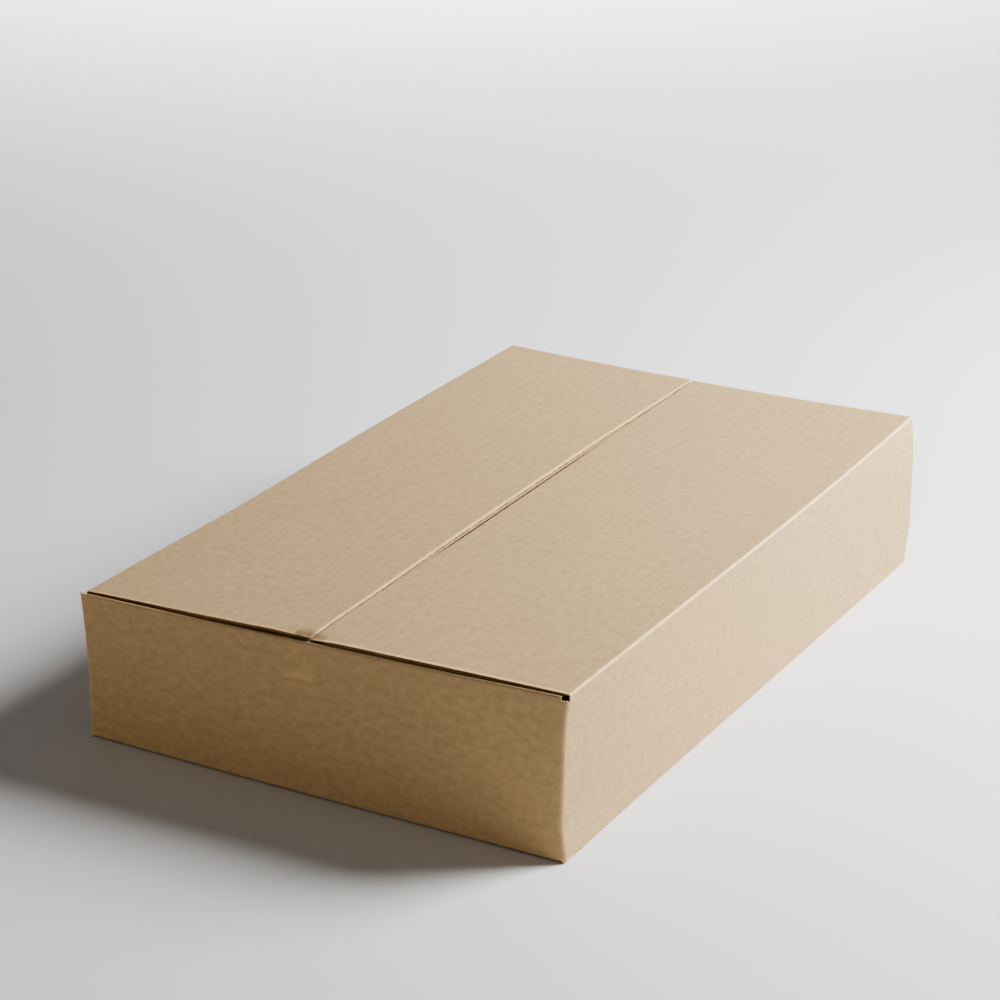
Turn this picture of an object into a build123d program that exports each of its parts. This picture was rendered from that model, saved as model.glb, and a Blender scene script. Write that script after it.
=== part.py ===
from build123d import *
import os

# A slotted carton, erected and closed, folded from one sheet of corrugated board. Millimetres.
# The origin lies under the middle of the base, +X runs along the length and +Z is up.

# Outside of the closed carton
carton_length = 400.0
carton_width = 250.0
carton_height = 80.0

# Board and the outside radius of its folds
board = 3.0
crease_radius = 2.0
corner_radius = 3.0

# Outer flaps: how far their ends stand back from the end walls, and the seam between them,
# which runs a little askew and lies off the middle by these amounts at its near and far ends
outer_flap_inset = 1.5
flap_tip_radius = 2.0
seam_gap = 1.2
seam_near_offset = 1.6
seam_far_offset = 9.6

# Slots that part the flaps at every corner
slot_width = 6.0
slot_overcut = 1.2

# Base flaps: how far their ends stand back from the round of the end walls' folds
base_flap_setback = 1.0

# Glue lap inside the far rear corner, and the raw edge that it is glued behind
lap_width = 32.0
lap_taper = 8.0
lap_clearance = 1.5
raw_edge_gap = 1.5

# Places that follow from the sizes
half_length = carton_length / 2
half_width = carton_width / 2
half_height = carton_height / 2
flap_depth = (carton_width - seam_gap) / 2
outer_flap_end = half_length - outer_flap_inset
base_flap_end = half_length - crease_radius - base_flap_setback
inner_flap_edge = half_width - slot_width
slot_end = board + slot_overcut
lap_foot = 2 * board + lap_clearance
lap_top = carton_height - lap_foot

os.makedirs("parts", exist_ok=True)

# The board's section across the carton: base flaps, long walls and outer flaps as one folded strip
with BuildSketch(Plane.YZ) as cross_section:
    with Locations((0, half_height)):
        Rectangle(carton_width, carton_height)
        fillet(cross_section.vertices(), radius=crease_radius)
        Rectangle(carton_width - 2 * board, carton_height - 2 * board, mode=Mode.SUBTRACT)
    Rectangle(seam_gap, 2 * board, mode=Mode.SUBTRACT)

# The outer flaps' part of that section. Each flap is mitred from the crease line on the outside of
# the fold to the inside of the fold, so it can swing right round without meeting its wall.
with BuildSketch(Plane.YZ) as flap_section:
    with BuildLine():
        Polyline(
            (-half_width, carton_height),
            (half_width, carton_height),
            (half_width - board, carton_height - board),
            (-half_width + board, carton_height - board),
            close=True,
        )
    make_face()
    add(cross_section.sketch_local, mode=Mode.INTERSECT)

# The long walls and base flaps, which stay still
with BuildSketch(Plane.YZ) as wall_section:
    add(cross_section.sketch_local)
    add(flap_section.sketch_local, mode=Mode.SUBTRACT)

# The section along the carton: end walls with their inner flaps, one board inside the outer flaps
with BuildSketch(Plane.XZ) as end_section:
    with Locations((0, half_height)):
        Rectangle(carton_length, carton_height - 2 * board)
        fillet(end_section.vertices(), radius=crease_radius)
        Rectangle(carton_length - 2 * board, carton_height - 4 * board, mode=Mode.SUBTRACT)
        Rectangle(carton_length - 2 * flap_depth, carton_height, mode=Mode.SUBTRACT)

# The carton's plan, with the soft round of its upright folds
with BuildSketch(Plane.XY) as plan:
    RectangleRounded(carton_length, carton_width, corner_radius)

# The folded sheet without its outer top flaps
with BuildPart() as carton_body:
    # Long walls and the base flaps that fold from them
    extrude(wall_section.sketch, amount=outer_flap_end, both=True)
    # Base flaps end short of the end walls' folds
    with BuildSketch(Plane.XY):
        Rectangle(carton_length, carton_width)
        Rectangle(2 * base_flap_end, carton_width, mode=Mode.SUBTRACT)
    extrude(amount=board, mode=Mode.SUBTRACT)
    # Walls all round, between the closed ends of the slots
    with BuildSketch(Plane.XY.offset(slot_end)):
        Rectangle(carton_length, carton_width)
        Rectangle(carton_length - 2 * board, carton_width - 2 * board, mode=Mode.SUBTRACT)
    extrude(amount=carton_height - 2 * slot_end)
    # End walls with the inner flaps at top and base, between the slots
    extrude(end_section.sketch, amount=inner_flap_edge, both=True)
    # Upright folds
    extrude(plan.sketch, amount=carton_height, mode=Mode.INTERSECT)
    # Glue lap, folded in from the rear wall and glued behind the far end wall
    with BuildSketch(Plane.YZ.offset(half_length - 2 * board)):
        with BuildLine():
            Polyline(
                (half_width - board, lap_foot),
                (half_width - board, lap_top),
                (half_width - board - lap_width, lap_top - lap_taper),
                (half_width - board - lap_width, lap_foot + lap_taper),
                close=True,
            )
        make_face()
    extrude(amount=board)
    # Raw edge of the far end wall, which stops short of the rear wall's face
    with BuildSketch(Plane.XY):
        with Locations((half_length, half_width)):
            Rectangle(board, raw_edge_gap, align=(Align.MAX, Align.MAX))
    extrude(amount=carton_height, mode=Mode.SUBTRACT)
carton_body.part.label = "carton_body"
export_step(carton_body.part, "parts/carton_body.step")

# Outer top flap that folds from the near long wall
with BuildPart() as front_flap:
    extrude(flap_section.sketch, amount=outer_flap_end, both=True)
    with BuildSketch(Plane.XY) as front_outline:
        with BuildLine():
            Polyline(
                (-outer_flap_end, -half_width),
                (outer_flap_end, -half_width),
                (outer_flap_end, seam_far_offset - seam_gap / 2),
                (-outer_flap_end, seam_near_offset - seam_gap / 2),
                close=True,
            )
        make_face()
        fillet(front_outline.vertices().sort_by(Axis.Y)[-2:], radius=flap_tip_radius)
        add(plan.sketch_local, mode=Mode.INTERSECT)
    extrude(amount=carton_height, mode=Mode.INTERSECT)
front_flap.part.label = "front_flap"
export_step(front_flap.part, "parts/front_flap.step")

# Outer top flap that folds from the far long wall
with BuildPart() as rear_flap:
    extrude(flap_section.sketch, amount=outer_flap_end, both=True)
    with BuildSketch(Plane.XY) as rear_outline:
        with BuildLine():
            Polyline(
                (-outer_flap_end, half_width),
                (outer_flap_end, half_width),
                (outer_flap_end, seam_far_offset + seam_gap / 2),
                (-outer_flap_end, seam_near_offset + seam_gap / 2),
                close=True,
            )
        make_face()
        fillet(rear_outline.vertices().sort_by(Axis.Y)[:2], radius=flap_tip_radius)
        add(plan.sketch_local, mode=Mode.INTERSECT)
    extrude(amount=carton_height, mode=Mode.INTERSECT)
rear_flap.part.label = "rear_flap"
export_step(rear_flap.part, "parts/rear_flap.step")
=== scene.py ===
"""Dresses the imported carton: one folded sheet of corrugated board with two outer top flaps."""

import logging
import math
from dataclasses import dataclass, field
from enum import Enum, IntEnum

import bmesh
import bpy
import numpy as np
from mathutils import Matrix, Vector


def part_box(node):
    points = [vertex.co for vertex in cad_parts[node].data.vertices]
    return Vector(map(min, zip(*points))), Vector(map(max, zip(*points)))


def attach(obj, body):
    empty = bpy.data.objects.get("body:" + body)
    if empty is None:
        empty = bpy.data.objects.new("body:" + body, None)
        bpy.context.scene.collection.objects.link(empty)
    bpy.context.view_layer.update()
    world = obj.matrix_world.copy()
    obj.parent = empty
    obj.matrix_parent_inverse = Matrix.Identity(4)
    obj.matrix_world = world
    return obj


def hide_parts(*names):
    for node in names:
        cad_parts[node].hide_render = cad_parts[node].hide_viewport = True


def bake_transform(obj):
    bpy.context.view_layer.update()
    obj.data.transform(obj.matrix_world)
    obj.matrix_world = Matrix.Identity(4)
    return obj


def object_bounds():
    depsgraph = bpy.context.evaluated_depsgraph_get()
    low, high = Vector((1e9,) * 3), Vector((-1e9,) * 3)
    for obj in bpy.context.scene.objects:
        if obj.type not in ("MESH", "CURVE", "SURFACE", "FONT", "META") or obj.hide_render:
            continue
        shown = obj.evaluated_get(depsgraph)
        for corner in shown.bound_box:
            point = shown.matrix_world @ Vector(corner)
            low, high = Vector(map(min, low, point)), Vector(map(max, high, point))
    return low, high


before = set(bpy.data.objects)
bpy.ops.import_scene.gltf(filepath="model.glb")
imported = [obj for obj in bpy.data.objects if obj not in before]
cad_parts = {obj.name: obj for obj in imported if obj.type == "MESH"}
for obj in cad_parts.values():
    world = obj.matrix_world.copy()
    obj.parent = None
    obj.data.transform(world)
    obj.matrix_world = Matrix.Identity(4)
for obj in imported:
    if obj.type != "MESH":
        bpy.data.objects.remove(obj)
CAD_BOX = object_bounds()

log = logging.getLogger("carton")

# One millimetre, a distance too small to count, and a short step that a direction is read from
MM = 0.001
HAIR = 1e-9
PROBE = 0.1 * MM
# Faces that meet at more than this keep a sharp edge
SHARP_ANGLE = math.radians(38)
BODY = "carton"

Colour = tuple[float, float, float]
Point = tuple[float, float, float]
Span = tuple[float, float]
Place = tuple[float, float]
Corner = tuple[int, int]
Key = tuple[str, int]
Rows = list[tuple[Key, float]]
Node = tuple[int, Key]
Ways = set[tuple[int, int]]


class Paper(Enum):
    """The papers of the board, by material slot."""

    OUTER = 0
    INNER = 1
    CUT = 2
    # The hollows' faces, in a kraft darkened as painted shade
    SHADED_HOLLOW = 3
    # The fluting: the medium's own duller tone, darkened further as painted shade in the gaps
    FLUTING = 4


class Side(Enum):
    """The two long sides of the carton, which carry the outer flaps."""

    FRONT = -1
    REAR = 1


class Stretch(IntEnum):
    """Stretches of the sheet in their order along the plan, from the glue lap to the raw edge."""

    LAP = 0
    LAP_FOLD = 1
    REAR_WALL = 2
    REAR_FOLD = 3
    NEAR_WALL = 4
    FRONT_FOLD = 5
    FRONT_WALL = 6
    FAR_FOLD = 7
    FAR_WALL = 8


class Socket(Enum):
    """Kinds of socket that the node groups take and give."""

    NUMBER = "NodeSocketFloat"
    VECTOR = "NodeSocketVector"
    GEOMETRY = "NodeSocketGeometry"
    MATERIAL = "NodeSocketMaterial"


@dataclass(frozen=True)
class Board:
    """Single-wall corrugated board, in metres.

    The liners show as thin edges at a cut, with the hollows of the fluting between them.
    """

    thickness: float
    # Liners at a cut: their paper, the outer one turned over across the flutes, and the edge's roll
    liner: float = 0.32 * MM
    turned: float = 0.75 * MM
    roll: float = 0.18 * MM
    edge_band: float = 0.7 * MM
    # Hollows at a cut along the flutes and across them, with the fluting and inner liner set back
    shaded_hollow: float = 2.4 * MM
    shallow: float = 2.3 * MM
    least_hollow: float = 0.05 * MM
    recess: float = 1.5 * MM
    lip: float = 1.3 * MM
    # Waver of the hollows' depth: its share, and the radians for each metre of two crossing waves
    waver: float = 0.25
    waver_waves: tuple[Span, Span] = ((410.0, 230.0), (97.0, -310.0))
    # Fluting paper
    flute_pitch: float = 6.4 * MM
    medium: float = 0.24 * MM
    # Share of the thickness that a score leaves, and how far from the fold it is felt
    crush: float = 0.42
    crush_reach: float = 2.2 * MM
    # Scuffing at a cut, which also paints a highlight along the outer liner's edge: the outer liner's
    # edge, the inner liner's edge and its inside
    rim_wear_and_highlight: float = 0.65
    inner_rim_wear: float = 0.5
    inner_wear: float = 0.3

    def spared(self, distance: float) -> float:
        """Share of the fluting that a score leaves standing at a distance from its fold."""
        return 1 - math.exp(-((distance / self.crush_reach) ** 2))

    def squeezed(self, distance: float) -> float:
        """Share of the thickness left at a distance from a fold, where the score crushed the board."""
        return self.crush + (1 - self.crush) * self.spared(distance)

    def uneven(self, u: float, v: float) -> float:
        """Share of a hollow's full depth at a place on the sheet.

        Args:
            u: Place along the plan.
            v: Place up the panel.

        Returns:
            The share, which wavers.
        """
        (sine_u, sine_v), (cosine_u, cosine_v) = self.waver_waves
        wave = math.sin(u * sine_u + v * sine_v) * math.cos(u * cosine_u + v * cosine_v)
        return 1 - self.waver + self.waver * wave


@dataclass(frozen=True)
class CartonSizes:
    """Sizes of the folded carton, in metres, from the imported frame."""

    length: float
    width: float
    height: float
    board: Board
    # Outside radii of the outer flaps' creases, the end walls' folds and the upright folds
    crease: float = 1.4 * MM
    end_crease: float = 1.5 * MM
    upright: float = 2.0 * MM
    # How far the outer flaps' ends stand back from the near and the far end wall
    flap_inset: float = 2.4 * MM
    far_inset: float = 0.6 * MM
    # End walls' top folds: their rise, and the dip of the inner flaps behind them
    end_rise: float = 1.2 * MM
    end_dip: float = 1.5 * MM
    dip_run: float = 6.0 * MM
    # Base: height of the end walls' folds, room between the flaps, and the outer flaps' set-back
    base_level: float = 0.6 * MM
    base_room: float = 0.1 * MM
    base_setback: float = 10.0 * MM
    # Slots: their width, and the board that stands up at the near rear one and is cut at the front one
    slot: float = 3.4 * MM
    ear: float = 1.9 * MM
    notch: float = 0.3 * MM
    # Top seam: the cut's own gap, its opening, and how far it lies off the middle at its ends
    seam_gap: float = 1.2 * MM
    seam_open: float = 2.8 * MM
    seam_shut: float = 0.3 * MM
    seam_near: float = 3.4 * MM
    seam_far: float = 7.5 * MM
    # Shares of the length over which the seam opens and closes again, and how far it closes
    opening_shares: Span = (0.12, 0.36)
    closing_shares: Span = (0.62, 0.9)
    closing: float = 0.62
    tip_round: float = 0.7 * MM
    # Glue lap and the raw edge in front of it
    lap: float = 32.0 * MM
    lap_taper: float = 9.0 * MM
    lap_room: float = 0.05 * MM
    raw_gap: float = 1.5 * MM

    @classmethod
    def from_frame(cls) -> "CartonSizes":
        """Reads the outside from the CAD box and the board from a flap's thickness.

        Returns:
            The carton's sizes.
        """
        low, high = CAD_BOX
        flap_low, flap_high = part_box("front_flap")
        outside = high - low
        board = Board(thickness=flap_high.z - flap_low.z)
        return cls(outside.x, outside.y, outside.z, board)

    @property
    def wall_foot(self) -> float:
        """Height where the end walls' base folds begin."""
        return self.base_level + self.end_crease

    @property
    def wall_top(self) -> float:
        """Height where the end walls' top folds begin, which is where the upper slots end."""
        return self.height - self.board.thickness + self.end_rise - self.end_crease

    @property
    def flap_depth(self) -> float:
        """Depth of a flap from its fold's outside, half the width less the seam."""
        return (self.width - self.seam_gap) / 2

    def flap_start(self, side: Side) -> float:
        """Where an outer flap begins along the carton, walked with the outside on the right.

        Args:
            side: The flap's long side.

        Returns:
            Its place along x.
        """
        if side is Side.FRONT:
            return self.flap_inset - self.length / 2
        return self.length / 2 - self.far_inset

    def share(self, x: float | np.ndarray) -> float | np.ndarray:
        """Share of the carton's length at a place along it."""
        return x / self.length + 0.5

    def seam(self, x: float) -> float:
        """Where the top seam lies across the carton at a place along it."""
        return self.seam_near + (self.seam_far - self.seam_near) * self.share(x)

    def gap(self, x: float) -> float:
        """Opening of the top seam: shut at its ends, open in the middle.

        Args:
            x: Place along the carton.

        Returns:
            The seam's width there.
        """
        share = self.share(x)
        shut_again = self.closing * smooth(share, *self.closing_shares)
        open_share = smooth(share, *self.opening_shares) * (1 - shut_again)
        return self.seam_shut + (self.seam_open - self.seam_shut) * open_share


def smooth(value: float | np.ndarray, low: float, high: float) -> float | np.ndarray:
    """Smooth step from 0 at low to 1 at high."""
    share = np.clip((value - low) / (high - low), 0, 1)
    return share * share * (3 - 2 * share)


def faded(distance: np.ndarray, reach: float) -> np.ndarray:
    """Share left at a distance, in a bell that fades over its reach."""
    return np.exp(-((distance / reach) ** 2))


def stations(length: float, spacing: float, fine: tuple[float, ...] = ()) -> list[float]:
    """Places along a length, closer together at both ends.

    Args:
        length: Whole length.
        spacing: Widest spacing in the middle.
        fine: Distances from each end that get a place of their own.

    Returns:
        Rising places from 0 to length.
    """
    inner = fine[-1] if fine else 0.0
    count = max(1, math.ceil((length - 2 * inner) / spacing))
    middle = [inner + (length - 2 * inner) * i / count for i in range(count + 1)]
    head = [0.0, *fine[:-1]] if fine else []
    return head + middle + [length - place for place in reversed(head)]


@dataclass(frozen=True)
class Stance:
    """What one piece takes of the slump's local rises.

    Lift is its share of the rise at the seam's near end, bead its share of the near fold's rise
    at the corners, flare its share of the near rear edge's flare, proud its own rise along the seam
    and pressed the dip of its tip at the near end.
    """

    lift: float = 1.0
    bead: float = 0.0
    flare: float = 0.0
    proud: float = 0.0
    pressed: float = 0.0


@dataclass(frozen=True)
class EdgeBump:
    """Sideways bump of one upright edge, which fades along both walls.

    The edge is named by the signs of x and y. The bump is full between two shares of the height, and
    would be gone at a third.
    """

    edge: Corner
    shift: Span
    full: Span
    reach: float
    gone: float = 1.1

    def moved(self, points: np.ndarray, sizes: CartonSizes) -> np.ndarray:
        """Shift of places in the true carton.

        Args:
            points: The places, one a row.
            sizes: The carton's sizes.

        Returns:
            The shift of each.
        """
        rise = points[:, 2] / sizes.height
        peak = smooth(rise, 0.0, self.full[0]) * (1 - smooth(rise, self.full[1], self.gone))
        along = points[:, 0] - self.edge[0] * sizes.length / 2
        across = points[:, 1] - self.edge[1] * sizes.width / 2
        weight = peak * faded(np.hypot(along, across), self.reach)
        return weight[:, None] * np.array((*self.shift, 0.0))


@dataclass(frozen=True)
class Slump:
    """How the used carton stands out of true: leaning corners, bowed panels and a lifted seam.

    Corner shifts are in metres, keyed by the signs of x and y, at the top and at the base. Heights and
    places along the carton are shares of its height and length.
    """

    sizes: CartonSizes
    top: dict[Corner, Point] = field(
        default_factory=lambda: {
            (-1, -1): (2.2 * MM, -0.2 * MM, 0.9 * MM),
            (-1, 1): (-4.3 * MM, 0.8 * MM, -1.4 * MM),
            (1, 1): (2.5 * MM, -0.9 * MM, 1.1 * MM),
            (1, -1): (0.0, 1.5 * MM, 1.35 * MM),
        }
    )
    base: dict[Corner, Point] = field(
        default_factory=lambda: {
            (-1, -1): (2.2 * MM, 1.55 * MM, 0.0),
            (-1, 1): (2.45 * MM, 6.8 * MM, 0.0),
            (1, 1): (-5.0 * MM, 2.5 * MM, 0.0),
            (1, -1): (-8.5 * MM, -2.35 * MM, 0.0),
        }
    )
    # Upright edges: the near front one pinched in, the far front one bulging out
    near_pinch: EdgeBump = EdgeBump((-1, -1), (-0.85 * MM, 1.45 * MM), (0.2, 0.75), 45 * MM)
    far_bulge: EdgeBump = EdgeBump((1, -1), (1.05 * MM, -1.85 * MM), (0.30, 0.75), 60 * MM)
    # Near rear edge's flare, in x and y, from a height, fading along x and along y
    flare: Span = (-1.65 * MM, 2.0 * MM)
    flare_from: float = 0.3
    flare_reach: Span = (2.5 * MM, 40.0 * MM)
    # Near front corner's toe at its foot, in x and y
    toe: Span = (-0.7 * MM, -0.8 * MM)
    toe_reach: float = 45 * MM
    toe_rise: float = 0.3
    # Rise of the near end wall's fold at its front and rear corner, outside the flaps' ends
    front_bead: float = 1.1 * MM
    rear_bead: float = 1.6 * MM
    bead_reach: float = 40 * MM
    bead_from: float = 0.8 * MM
    bead_levels: Span = (0.7, 0.93)
    # Near end wall's bow at its foot, and the share of it that is gone at its top
    end_bow: float = 1.3 * MM
    end_bow_reach: float = 60 * MM
    end_bow_fade: float = 0.6
    # Front crease's bow in y and z, skewed towards the far end
    front_bow: Span = (-1.0 * MM, -1.35 * MM)
    front_bow_reach: float = 50 * MM
    front_bow_skew: float = 1.6
    # Rear crease's sag in y and z: its middle, its width and the height that it begins at
    rear_sag: Span = (-0.65 * MM, -0.9 * MM)
    rear_sag_reach: float = 60 * MM
    rear_sag_at: float = 0.33
    rear_sag_width: float = 0.2
    rear_sag_from: float = 0.3
    # Seam: its near end's lift, its far end's sink, and the heights over which they grow
    near_lift: float = 0.6 * MM
    far_sink: float = 1.8 * MM
    heave_levels: Span = (0.6, 0.93)
    # Proud edge: where it begins to fade, by how much, and how sharply it falls off from the seam
    proud_from: float = 0.7
    proud_fade: float = 0.7
    proud_power: int = 4
    # Pressed tips: their middle across the carton, and their reach in x and y
    press_middle: float = 6.0 * MM
    press_reach: Span = (7 * MM, 9 * MM)

    def corner(self, points: np.ndarray) -> np.ndarray:
        """Shift carried in from the eight corners.

        Args:
            points: Places in the true carton, one a row.

        Returns:
            The shift of each.
        """
        across = np.clip(points / (self.sizes.length, self.sizes.width, self.sizes.height), -0.5, 1)
        rise = np.clip(across[:, 2], 0, 1)
        shift = np.zeros_like(points)
        for level, share in ((self.top, rise), (self.base, 1 - rise)):
            for (sx, sy), move in level.items():
                weight = (0.5 + sx * across[:, 0]) * (0.5 + sy * across[:, 1]) * share
                shift += weight[:, None] * np.array(move)
        return shift

    def flared(self, points: np.ndarray) -> np.ndarray:
        """Outward flare of the near rear edge towards its top.

        Args:
            points: Places in the true carton.

        Returns:
            The shift of each place.
        """
        x, y, z = points.T
        rise = np.clip((z / self.sizes.height - self.flare_from) / (1 - self.flare_from), 0, 1) ** 2
        along = faded(x + self.sizes.length / 2, self.flare_reach[0])
        across = faded(y - self.sizes.width / 2, self.flare_reach[1])
        return (rise * along * across)[:, None] * np.array((*self.flare, 0.0))

    def toed(self, points: np.ndarray) -> np.ndarray:
        """Outward toe of the near front corner at its foot.

        Args:
            points: Places in the true carton.

        Returns:
            The shift of each place.
        """
        x, y, z = points.T
        away = np.hypot(x + self.sizes.length / 2, y + self.sizes.width / 2)
        foot = 1 - smooth(z / self.sizes.height, 0.0, self.toe_rise)
        weight = foot * faded(away, self.toe_reach)
        return weight[:, None] * np.array((*self.toe, 0.0))

    def bows(self, points: np.ndarray) -> np.ndarray:
        """Outward bows of the near end wall's foot and the front crease, and the rear crease's sag.

        Args:
            points: Places in the true carton.

        Returns:
            The shift of each place.
        """
        x, y, z = points.T
        sizes = self.sizes
        shift = np.zeros_like(points)
        at_end = faded(x + sizes.length / 2, self.end_bow_reach)
        arch = np.cos(math.pi * y / sizes.width)
        shift[:, 0] -= self.end_bow * at_end * arch * (1 - self.end_bow_fade * z / sizes.height)
        at_front = faded(y + sizes.width / 2, self.front_bow_reach)
        along = np.clip(sizes.share(x), 0, 1)
        bow = at_front * np.sin(math.pi * along**self.front_bow_skew) * smooth(z, 0.0, sizes.height)
        shift[:, 1:] += bow[:, None] * np.array(self.front_bow)
        at_rear = faded(y - sizes.width / 2, self.rear_sag_reach)
        lengthwise = faded(along - self.rear_sag_at, self.rear_sag_width)
        dip = at_rear * lengthwise * smooth(z, self.rear_sag_from * sizes.height, sizes.height)
        shift[:, 1:] += dip[:, None] * np.array(self.rear_sag)
        return shift

    def beaded(self, points: np.ndarray) -> np.ndarray:
        """Rise of the near end wall's fold towards its two corners, in front of the flaps' ends.

        Args:
            points: Places in the true carton.

        Returns:
            The rise of each place.
        """
        x, y, z = points.T
        half_x, half_y = self.sizes.length / 2, self.sizes.width / 2
        low, high = self.bead_levels
        outer = 1 - smooth(x + half_x, self.bead_from, self.sizes.flap_inset)
        upper = smooth(z, low * self.sizes.height, high * self.sizes.height)
        front = self.front_bead * faded(y + half_y, self.bead_reach)
        rear = self.rear_bead * faded(y - half_y, self.bead_reach)
        return (front + rear) * outer * upper

    def seam_heave(self, points: np.ndarray, stance: Stance) -> np.ndarray:
        """Rise of the outer flaps at the near end of the seam and sink of all flaps at its far end.

        Args:
            points: Places in the true carton.
            stance: What the piece takes of it.

        Returns:
            The rise of each place.
        """
        x, y, z = points.T
        sizes = self.sizes
        along = np.clip(sizes.share(x), 0, 1)
        middle = np.clip(1 - np.abs(y - sizes.seam_near) / (sizes.width / 2), 0, 1)
        crown = middle * (2 - middle)
        low, high = self.heave_levels
        upper = smooth(z, low * sizes.height, high * sizes.height)
        near = self.near_lift * stance.lift * (1 - along) ** 2
        kept = 1 - self.proud_fade * smooth(along, self.proud_from, 1.0)
        proud = stance.proud * kept * middle**self.proud_power
        rise = (near - self.far_sink * along**2) * crown + proud
        reach_x, reach_y = self.press_reach
        tip = np.hypot((x + sizes.length / 2) / reach_x, (y - self.press_middle) / reach_y)
        return (rise - stance.pressed * np.exp(-(tip**2))) * upper

    def move(self, points: np.ndarray, stance: Stance) -> np.ndarray:
        """Places of the true carton as the used one stands.

        Args:
            points: Places in the true carton, one a row.
            stance: What the piece takes of the local rises.

        Returns:
            The places, moved.
        """
        shift = self.corner(points)
        shift += self.near_pinch.moved(points, self.sizes)
        shift += self.far_bulge.moved(points, self.sizes)
        shift += stance.flare * self.flared(points) + self.toed(points)
        shift += self.bows(points)
        shift[:, 2] += self.seam_heave(points, stance) + stance.bead * self.beaded(points)
        return points + shift


@dataclass(frozen=True)
class Fold:
    """A round fold from a wall into a flap.

    It starts at a height and turns up or down by the sign of its rise. Past it the flap climbs a little
    over a run. Rub is how far its round is scuffed and lightened as its painted highlight.
    """

    start: float
    radius: float
    rise: int
    climb: float = 0.0
    climb_run: float = 9.0 * MM
    rub_and_highlight: float = 1.0

    @property
    def arc(self) -> float:
        """Length of the fold's outside."""
        return self.radius * math.pi / 2

    def rows(self, label: str, steps: int) -> Rows:
        """Rows round the fold, both ends included, with their places on the sheet."""
        return [((label, i), self.start + self.rise * self.arc * i / steps) for i in range(steps + 1)]

    def bend(self, beyond: float, depth: float) -> Place:
        """Place of a point past the start of the fold.

        Args:
            beyond: Distance along the sheet past the start.
            depth: Depth below the outside face.

        Returns:
            Distance in from the wall's outside, and height.
        """
        if beyond <= self.arc:
            angle = beyond / self.radius
            inward = self.radius - (self.radius - depth) * math.cos(angle)
            return inward, self.start + self.rise * (self.radius - depth) * math.sin(angle)
        flat = beyond - self.arc
        level = self.start + self.rise * (self.radius - depth)
        return self.radius + flat, level + self.climb * float(smooth(flat, 0.0, self.climb_run))


@dataclass(frozen=True)
class Section:
    """A panel's upright section: its wall and the folds at its base and top."""

    base: Fold | None = None
    top: Fold | None = None

    def past(self, v: float) -> tuple[Fold | None, float]:
        """The fold that a place on the sheet has passed.

        Args:
            v: Place up the panel.

        Returns:
            The fold, if there is one, and the distance past its start.
        """
        if self.top and v > self.top.start:
            return self.top, v - self.top.start
        if self.base and v < self.base.start:
            return self.base, self.base.start - v
        return None, 0.0

    def from_fold(self, v: float) -> float:
        """Distance along the sheet to the nearest fold.

        Args:
            v: Place up the panel.

        Returns:
            The distance, none on a fold's round.
        """
        nearest = math.inf
        for fold in (self.base, self.top):
            if fold:
                beyond = fold.rise * (v - fold.start)
                nearest = min(nearest, max(0.0, -beyond, beyond - fold.arc))
        return nearest

    def place(self, v: float, depth: float) -> Place:
        """Distance in from the wall's outside, and height, of a place on the sheet."""
        fold, beyond = self.past(v)
        return fold.bend(beyond, depth) if fold else (depth, v)


@dataclass(frozen=True)
class Run:
    """A straight or turning stretch of the carton's plan, walked with the outside on the right."""

    start: Place
    heading: float
    length: float
    radius: float = 0.0
    section: Section = Section()

    def outward(self, along: float) -> Place:
        """Direction out of the carton at a place along the run."""
        turn = self.heading + (along / self.radius if self.radius else 0.0)
        return math.sin(turn), -math.cos(turn)

    def point(self, along: float, depth: float) -> Place:
        """Plan of a place along the run.

        Args:
            along: Place along the run.
            depth: Depth below the outside.

        Returns:
            Its x and y.
        """
        nx, ny = self.outward(along)
        if self.radius:
            hx, hy = self.outward(0.0)
            reach = self.radius - depth
            return (
                self.start[0] - hx * self.radius + nx * reach,
                self.start[1] - hy * self.radius + ny * reach,
            )
        return (
            self.start[0] + math.cos(self.heading) * along - nx * depth,
            self.start[1] + math.sin(self.heading) * along - ny * depth,
        )


@dataclass
class Column:
    """One line across the sheet: its place along the plan and its rows from base to top."""

    u: float
    rows: Rows

    def steps(self) -> list[tuple[Key, Key]]:
        """Neighbouring rows, from base to top."""
        keys = [key for key, _ in self.rows]
        return list(zip(keys, keys[1:]))


@dataclass(frozen=True)
class RubAndHighlight:
    """How the outside of a sheet is scuffed, and where highlights are painted on it.

    Upright folds and creases are scuffed along their round, the creases lightened as a painted
    highlight. A flap may have bands along its ends and along its free edge, each scuffed through and
    lightened as a painted highlight over a core share of its width. The free edge's band grows over a
    share of the length at its start.
    """

    upright: float = 0.5
    upright_power: float = 3.0
    crease_power: float = 1.5
    end: float = 0.0
    end_share: float = 1.0
    end_core: float = 0.4
    tip: float = 0.0
    tip_core: float = 0.3
    tip_start: float = 0.2


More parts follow.
